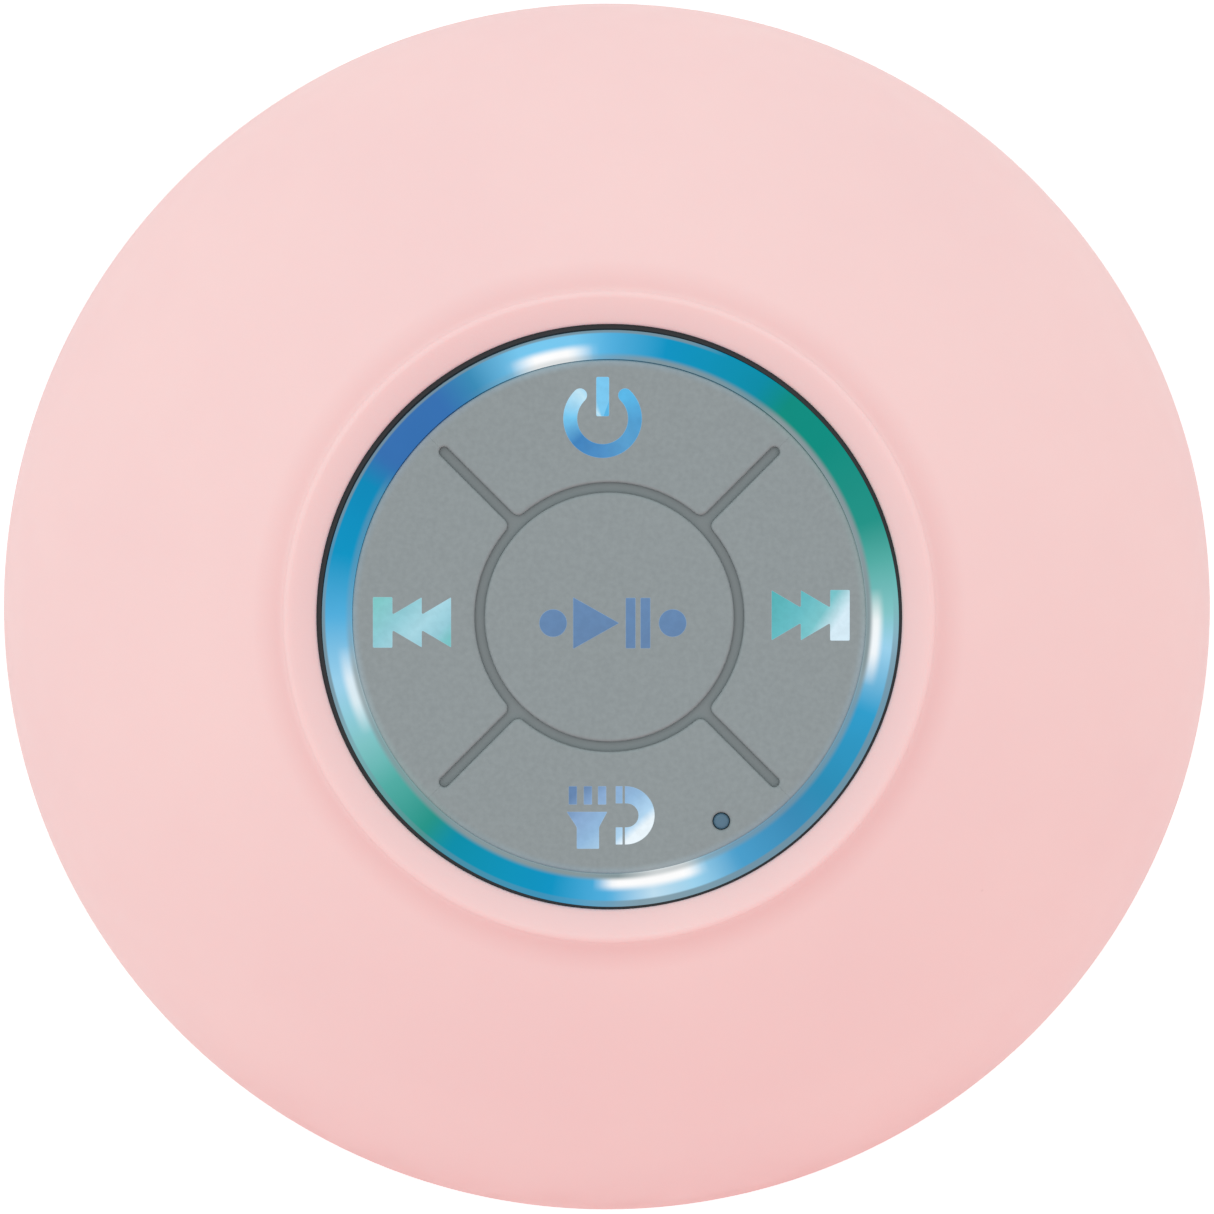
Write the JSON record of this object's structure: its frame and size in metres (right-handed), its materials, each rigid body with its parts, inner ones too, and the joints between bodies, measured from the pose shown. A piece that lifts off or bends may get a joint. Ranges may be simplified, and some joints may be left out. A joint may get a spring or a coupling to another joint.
{
  "type": "shower speaker",
  "caption": "Round wireless speaker with a soft dome, a lit ring round a sectored key panel, a rear-facing driver and a suction cup on a swivel stud.",
  "frame": {"origin": "centre of the circle where the suction cup's lip meets the wall", "axes": "+Z along the speaker's axis from the wall to the control panel, +Y towards the power key, +X towards the next-track key"},
  "size_m": [0.086, 0.086, 0.054],
  "materials": {
    "silicone_pink": "satin, soft touch",
    "silicone_grey": "matt",
    "silicone_black": "matt",
    "plastic_black": "fine spark-eroded texture",
    "diffuser": "glossy, lit from below",
    "steel_screw": "zinc plated",
    "board_green": "solder mask",
    "chip_black": "moulded epoxy",
    "led_white": "clear epoxy",
    "mic_can": "pressed can",
    "capacitor_tan": "matt",
    "cell_foil": "laminate foil",
    "foam_black": "closed-cell foam",
    "lead_red": "insulated wire",
    "lead_black": "insulated wire",
    "usb_metal": "nickel plated",
    "frame_steel": "black enamel",
    "ferrite": "ground",
    "pole_steel": "zinc plated",
    "cone_paper": "pressed pulp",
    "former_film": "amber film",
    "coil_wire": "enamelled winding",
    "spider_cloth": "resin-stiffened weave",
    "mesh_cloth": "waterproof membrane"
  },
  "bodies": {
    "housing": {"dome_skin": "silicone_pink", "front_shell": "plastic_black", "rear_cover": "plastic_black", "housing_seal": "silicone_black", "housing_screws": "steel_screw", "light_ring": "diffuser", "keypad_web": "silicone_grey", "switch_cases": "chip_black", "ring_leds": "led_white", "key_leds": "led_white", "main_board": "board_green", "board_screws": "steel_screw", "microphone": "mic_can", "mic_boot": "silicone_black", "audio_chip": "chip_black", "amplifier_chip": "chip_black", "board_capacitors": "capacitor_tan", "chip_antenna": "capacitor_tan", "battery": "cell_foil", "battery_pad": "foam_black", "battery_lead_red": "lead_red", "battery_lead_black": "lead_black", "charge_board": "board_green", "charge_board_screws": "steel_screw", "charge_lead_red": "lead_red", "charge_lead_black": "lead_black", "usb_shell": "usb_metal", "usb_tongue": "chip_black", "plug_anchor": "silicone_black", "speaker_gasket": "foam_black", "speaker_frame": "frame_steel", "speaker_screws": "steel_screw", "speaker_surround": "silicone_black", "speaker_spider": "spider_cloth", "front_washer": "pole_steel", "magnet": "ferrite", "yoke": "pole_steel", "speaker_terminals": "board_green", "speaker_lead_red": "lead_red", "speaker_lead_black": "lead_black", "acoustic_mesh": "mesh_cloth"},
    "power_key": {"key_power": "silicone_grey", "plunger_power": "chip_black"},
    "previous_key": {"key_previous": "silicone_grey", "plunger_previous": "chip_black"},
    "play_key": {"key_play": "silicone_grey", "plunger_play": "chip_black"},
    "next_key": {"key_next": "silicone_grey", "plunger_next": "chip_black"},
    "light_key": {"key_light": "silicone_grey", "plunger_light": "chip_black"},
    "port_plug": {"port_plug": "silicone_black"},
    "cone": {"speaker_cone": "cone_paper", "dust_cap": "cone_paper", "coil_former": "former_film", "voice_coil": "coil_wire"},
    "suction_mount": {"suction_cup": "silicone_black", "cup_stud": "plastic_black"}
  },
  "joints": [
    {"name": "power_press", "type": "slide", "parent": "housing", "child": "power_key", "axis": [0, 0, -1], "range_m": [0, 0.0005]},
    {"name": "previous_press", "type": "slide", "parent": "housing", "child": "previous_key", "axis": [0, 0, -1], "range_m": [0, 0.0005]},
    {"name": "play_press", "type": "slide", "parent": "housing", "child": "play_key", "axis": [0, 0, -1], "range_m": [0, 0.0005]},
    {"name": "next_press", "type": "slide", "parent": "housing", "child": "next_key", "axis": [0, 0, -1], "range_m": [0, 0.0005]},
    {"name": "light_press", "type": "slide", "parent": "housing", "child": "light_key", "axis": [0, 0, -1], "range_m": [0, 0.0005]},
    {"name": "plug_hinge", "type": "hinge", "parent": "housing", "child": "port_plug", "pos_m": [-0.0076, -0.0354, 0.01675], "axis": [0, 0, -1], "range_deg": [0, 110]},
    {"name": "cone_stroke", "type": "slide", "parent": "housing", "child": "cone", "axis": [0, 0, 1], "range_m": [-0.001, 0.001], "deforming": ["speaker_surround", "speaker_spider"]},
    {"name": "cup_swivel", "type": "hinge", "parent": "housing", "child": "suction_mount", "pos_m": [0, 0, 0.0098], "axis": [0, 0, 1], "continuous": true}
  ]
}
